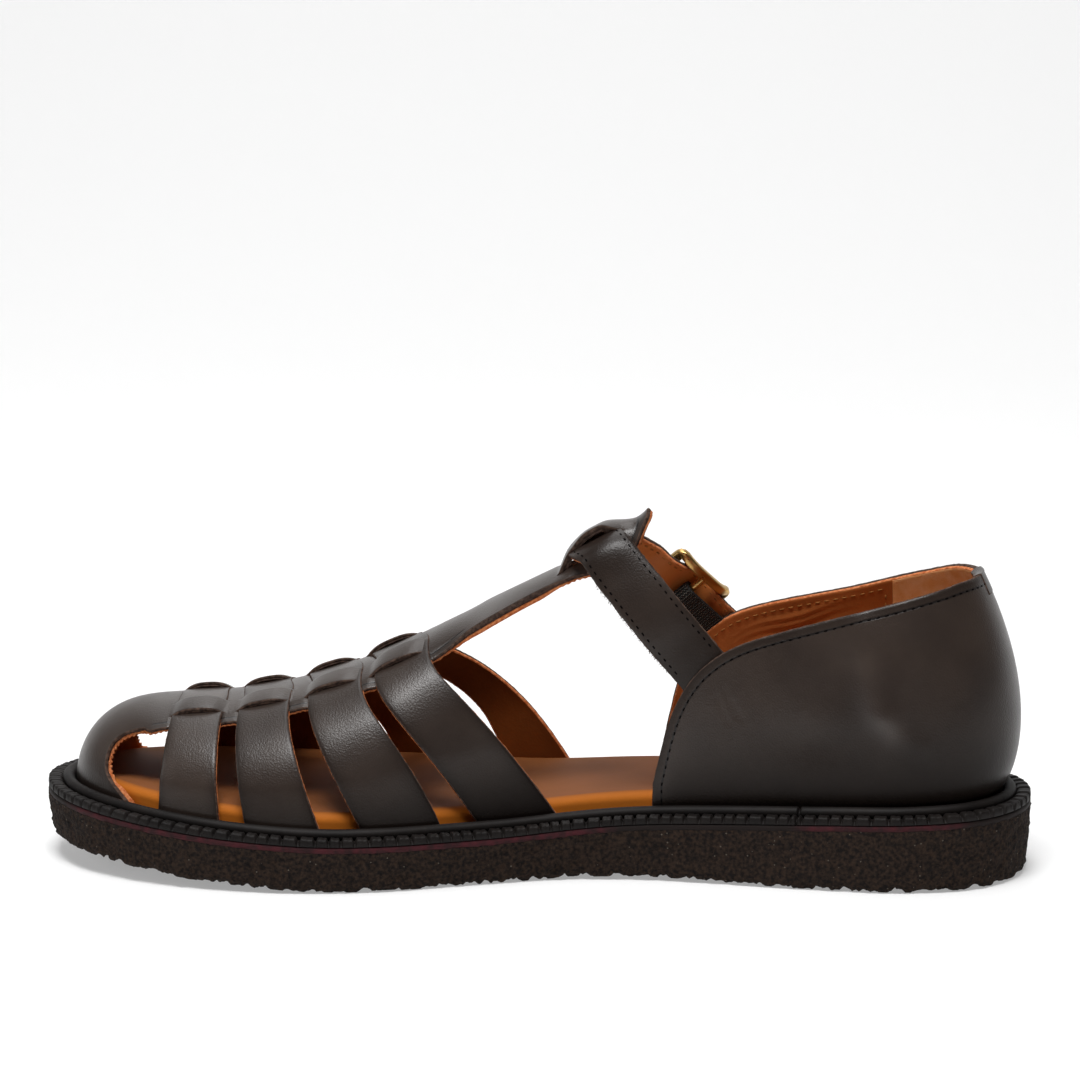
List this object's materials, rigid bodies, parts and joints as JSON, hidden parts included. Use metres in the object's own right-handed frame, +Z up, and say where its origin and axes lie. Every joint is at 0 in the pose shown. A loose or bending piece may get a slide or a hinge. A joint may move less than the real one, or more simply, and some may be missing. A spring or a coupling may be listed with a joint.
{
  "type": "fisherman sandal",
  "caption": "Right fisherman sandal in dark brown leather: closed heel, woven cross straps on a centre spine, buckled T-bar ankle strap, ribbed storm welt and a thick crepe sole.",
  "frame": {"origin": "on the floor under the middle of the sole's outline", "axes": "+X towards the toe, +Y towards the inner (medial) side of the foot, +Z up"},
  "size_m": [0.268, 0.0966, 0.0966],
  "materials": {
    "crepe": "rough cut crepe, matt, with fine pale specks",
    "midsole": "burgundy edge, satin",
    "welt": "wheeled ribs, satin",
    "lining": "natural tan, satin",
    "leather": "smooth espresso brown, soft sheen, tan flesh side",
    "elastic": "woven, matt",
    "brass": "polished pale brass"
  },
  "bodies": {
    "root": {"outsole": "crepe", "midsole": "midsole", "welt": "welt", "insole": "lining", "upper": "leather", "elastic": "elastic", "buckle_frame": "brass", "buckle_prong": "brass"}
  },
  "joints": []
}
